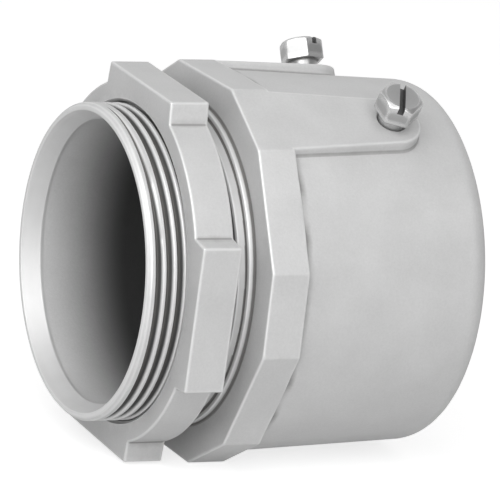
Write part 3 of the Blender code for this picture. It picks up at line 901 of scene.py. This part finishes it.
def about_axis(tree, place, axis):
    """A place measured from an axis, given as a point on it and its direction, which becomes local X."""
    centre, direction = axis
    turn = direction.to_track_quat("X", "Z").to_euler()
    made = node(tree, "Mapping", ("Vector", place), ("Location", centre), ("Rotation", turn),
                vector_type="TEXTURE")
    return made.outputs[0]


def metal(name, skin, grey, skin_depth, metallic, smooth, rough, grime_and_shade_share=0.6, axis=CONNECTOR_AXIS, painted_shade_depth=None):
    """A plated metal: its grey shifts with the skin group's tone, outer edges are lighter and smoother, as
    worn plating and a painted highlight, hollows are darker by a share, as grime and painted shade, and the
    skin's height makes a bump. The skin is laid about the connector's own axis unless a screw's is given.
    Where given, deep places are darker as painted shade: deep in a bore and down a thread's grooves."""
    mat = bpy.data.materials.new(name)
    mat.use_nodes = True
    tree = mat.node_tree
    place = node(tree, "TexCoord").outputs["Object"]
    centred = about_axis(tree, place, axis)
    marks = node(tree, "Group", ("Vector", centred), node_tree=skin).outputs
    sharpness = node(tree, "Attribute", attribute_name="turn").outputs["Fac"]
    surface_marks = node(tree, "Group", ("Vector", place), ("Turn", sharpness), node_tree=wear_grime_shade).outputs
    plain = plated_grey(tree, grey, marks["Tone"], centred, painted_shade_depth)
    # Lighter outer edges: worn plating and a painted highlight. Darker hollows: grime and painted shade.
    rubbed_and_lit = mix_of(tree, value_of(tree, "MULTIPLY", surface_marks["Wear_and_highlight"], WORN_AND_HIGHLIGHT_SHARE), plain, WORN_AND_HIGHLIGHT_COLOUR)
    grimed_and_shaded = mix_of(tree, value_of(tree, "MULTIPLY", surface_marks["Grime_and_shade"], grime_and_shade_share), rubbed_and_lit, GRIME_AND_SHADE_COLOUR)
    skin_rough = span_of(tree, marks["Tone"], TONE_LOW, TONE_HIGH, smooth, rough)
    worn_rough = value_of(tree, "MULTIPLY_ADD", surface_marks["Wear_and_highlight"], RUBBED_ROUGHNESS, skin_rough)
    soiled_rough = value_of(tree, "MULTIPLY_ADD", surface_marks["Grime_and_shade"], GRIME_ROUGHNESS, worn_rough)
    bump = node(tree, "Bump", ("Height", marks["Height"]), ("Distance", skin_depth), ("Strength", 1.0))
    shader = tree.nodes["Principled BSDF"].inputs
    shader["Metallic"].default_value = metallic
    tree.links.new(grimed_and_shaded, shader["Base Color"])
    tree.links.new(soiled_rough, shader["Roughness"])
    tree.links.new(bump.outputs[0], shader["Normal"])
    return mat


def screw_metals(side, pad_angle):
    """A set screw's bright steel, with its tool lines round its own axis, and its slot's metal, darkened as
    painted shade.
    """
    axis = ORIGIN + Vector((SCREW_STATION, 0, 0)), Vector((0, -np.sin(pad_angle), np.cos(pad_angle)))
    bright = metal("plated_steel_" + side, tool_lines, grey=0.44, skin_depth=0.004 * MM, metallic=0.95,
                   smooth=0.28, rough=0.40, axis=axis)
    # The slot's metal is a dark grey: painted shade in the screwdriver slot
    slot_shaded = metal("shaded_slot_" + side, tool_lines, grey=0.14, skin_depth=0.006 * MM, metallic=0.6,
                   smooth=0.45, rough=0.60, axis=axis)
    return bright, slot_shaded


def studio_world():
    """White where the camera looks. In reflections it is pale behind the object and dims towards the
    front of the studio, and as a light it is a dim sky, a little brighter above."""
    world = bpy.data.worlds.new("studio")
    bpy.context.scene.world = world
    world.use_nodes = True
    tree = world.node_tree
    direction = node(tree, "SeparateXYZ", ("Vector", node(tree, "TexCoord").outputs["Generated"])).outputs
    path = node(tree, "LightPath").outputs
    mirrored = span_of(tree, direction["Y"], -0.5, 0.5, STUDIO_FRONT, STUDIO_BACK)
    sky = span_of(tree, direction["Z"], -1.0, 1.0, SKY_LOW, SKY_HIGH)
    shown = node(tree, "Mix", (0, path["Is Glossy Ray"]), (2, sky), (3, mirrored)).outputs[0]
    strength = node(tree, "Mix", (0, path["Is Camera Ray"]), (2, shown), (3, 1.0)).outputs[0]
    background = tree.nodes["Background"]
    background.inputs["Color"].default_value = (1, 1, 1, 1)
    tree.links.new(strength, background.inputs["Strength"])


def studio_floor():
    """A pale matt floor. It glows so that the camera sees it near white outside the object's shadow,
    and glows less in reflections."""
    mesh = bpy.data.meshes.new("floor")
    half = FLOOR_HALF_SIDE
    corners = [(-half, -half, 0), (half, -half, 0), (half, half, 0), (-half, half, 0)]
    mesh.from_pydata(corners, [], [(0, 1, 2, 3)])
    floor = add_object("floor", mesh)
    mat = bpy.data.materials.new("pale_floor")
    mat.use_nodes = True
    tree = mat.node_tree
    shader = tree.nodes["Principled BSDF"]
    shader.inputs["Base Color"].default_value = grey_colour(FLOOR_GREY)
    shader.inputs["Roughness"].default_value = 0.9
    shader.inputs["Specular IOR Level"].default_value = 0.0
    shader.inputs["Emission Color"].default_value = (1, 1, 1, 1)
    path = node(tree, "LightPath").outputs
    camera_part = value_of(tree, "MULTIPLY", path["Is Camera Ray"], FLOOR_GLOW)
    glow = value_of(tree, "MULTIPLY_ADD", path["Is Glossy Ray"], FLOOR_MIRRORED, camera_part)
    tree.links.new(glow, shader.inputs["Emission Strength"])
    mesh.materials.append(mat)


def direction_at(azimuth, elevation):
    """The direction of a place seen from the object: turned from the front and raised, in radians."""
    level = np.cos(elevation)
    return Vector((np.sin(azimuth) * level, -np.cos(azimuth) * level, np.sin(elevation)))


def lamp(name, azimuth, elevation, distance, size, level):
    """A square soft lamp aimed at the object. Its level is the share of full white that it alone
    gives a matt white face turned to it, so its power is its area times pi times the level, over the
    share of such a face's half of space that it fills: 4 / pi times s times the arc tangent of s,
    where s is half its side over the distance to the middle of a side."""
    light = bpy.data.lights.new(name, "AREA")
    spread = size / 2 / hypot(size / 2, distance)
    light.energy = level * pi * size ** 2 / (4 / pi * spread * atan(spread))
    light.size = size
    back = direction_at(radians(azimuth), radians(elevation))
    obj = add_object(name, light)
    obj.matrix_world = (Matrix.Translation(Vector((0, 0, ORIGIN.z)) + back * distance)
                        @ back.to_track_quat("Z", "Y").to_matrix().to_4x4())
    obj.visible_camera = False


def photo_camera():
    """The camera at the drawing's angle: off to the mouth's side and a little above, turned about its
    line of sight so that the barrel lies level in the picture."""
    back = direction_at(CAMERA_AZIMUTH, CAMERA_ELEVATION)
    side = Vector((np.cos(CAMERA_AZIMUTH), np.sin(CAMERA_AZIMUTH), 0))
    above = back.cross(side)
    right = side * np.cos(CAMERA_ROLL) + above * np.sin(CAMERA_ROLL)
    up = above * np.cos(CAMERA_ROLL) - side * np.sin(CAMERA_ROLL)
    focus = ORIGIN + Vector((CAMERA_FOCUS, 0, 0))
    place = focus + back * CAMERA_DISTANCE + right * CAMERA_RIGHT + up * CAMERA_UP
    camera = bpy.data.cameras.new("camera")
    camera.sensor_width = CAMERA_SENSOR_MM
    camera.lens = CAMERA_LENS_MM
    obj = add_object("camera", camera)
    obj.matrix_world = Matrix.Translation(place) @ Matrix((right, up, back)).transposed().to_4x4()
    bpy.context.scene.camera = obj


def dress(obj, body, solid, slot, *materials):
    """Give a piece its materials, tie it to its body and hide the solid it stands for."""
    for mat in materials:
        obj.data.materials.append(mat)
    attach(obj, body)
    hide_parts(solid)


bpy.context.scene.view_settings.view_transform = "Standard"
cast_grain, tool_lines, wear_grime_shade = cast_grain_group(), tool_lines_group(), wear_grime_shade_group()
casting_metal = metal("plated_casting", cast_grain, grey=0.60, skin_depth=0.035 * MM, metallic=0.38,
                      smooth=0.50, rough=0.62)
# Turned surfaces take nearly the full share of grime and painted shade in their hollows
turned_metal = metal("turned_casting", tool_lines, grey=0.62, skin_depth=0.008 * MM, metallic=0.5,
                     smooth=0.46, rough=0.58, grime_and_shade_share=0.95)
# The throat's grey falls to a twenty-fifth of itself from 4 to 32 mm into the bore: painted shade
throat_metal = metal("throat_casting", cast_grain, grey=0.60, skin_depth=0.05 * MM, metallic=0.1,
                     smooth=0.50, rough=0.62, painted_shade_depth=("along", 4 * MM, 32 * MM, 0.04))
# The thread's grey falls to 0.12 of itself down its grooves: painted shade
thread_metal = metal("threaded_casting", tool_lines, grey=0.62, skin_depth=0.008 * MM, metallic=0.5,
                     smooth=0.46, rough=0.58, grime_and_shade_share=0.95,
                     painted_shade_depth=("out", THREAD_CREST_R - 0.15 * MM, THREAD_CREST_R - 1.0 * MM, 0.12))
nut_metal = metal("plated_locknut", cast_grain, grey=0.58, skin_depth=0.03 * MM, metallic=0.38,
                  smooth=0.48, rough=0.60)
dress(connector_casting(), "connector", "connector_body", "casting", casting_metal, turned_metal,
      casting_metal, throat_metal, thread_metal)
dress(locknut(), "locknut", "locknut", "locknut_metal", nut_metal, thread_metal)
dress(set_screw("screw_front", PAD_ANGLE, HEAD_TURN_FRONT), "set_screw_front", "set_screw_front",
      "screw_steel", *screw_metals("front", PAD_ANGLE))
dress(set_screw("screw_back", -PAD_ANGLE, HEAD_TURN_BACK), "set_screw_back", "set_screw_back",
      "screw_steel", *screw_metals("back", -PAD_ANGLE))
studio_world()
studio_floor()
lamp("key", azimuth=-24, elevation=32, distance=1.6, size=2.4, level=0.74)
lamp("mouth_side", azimuth=-62, elevation=38, distance=0.30, size=0.26, level=0.24)
photo_camera()
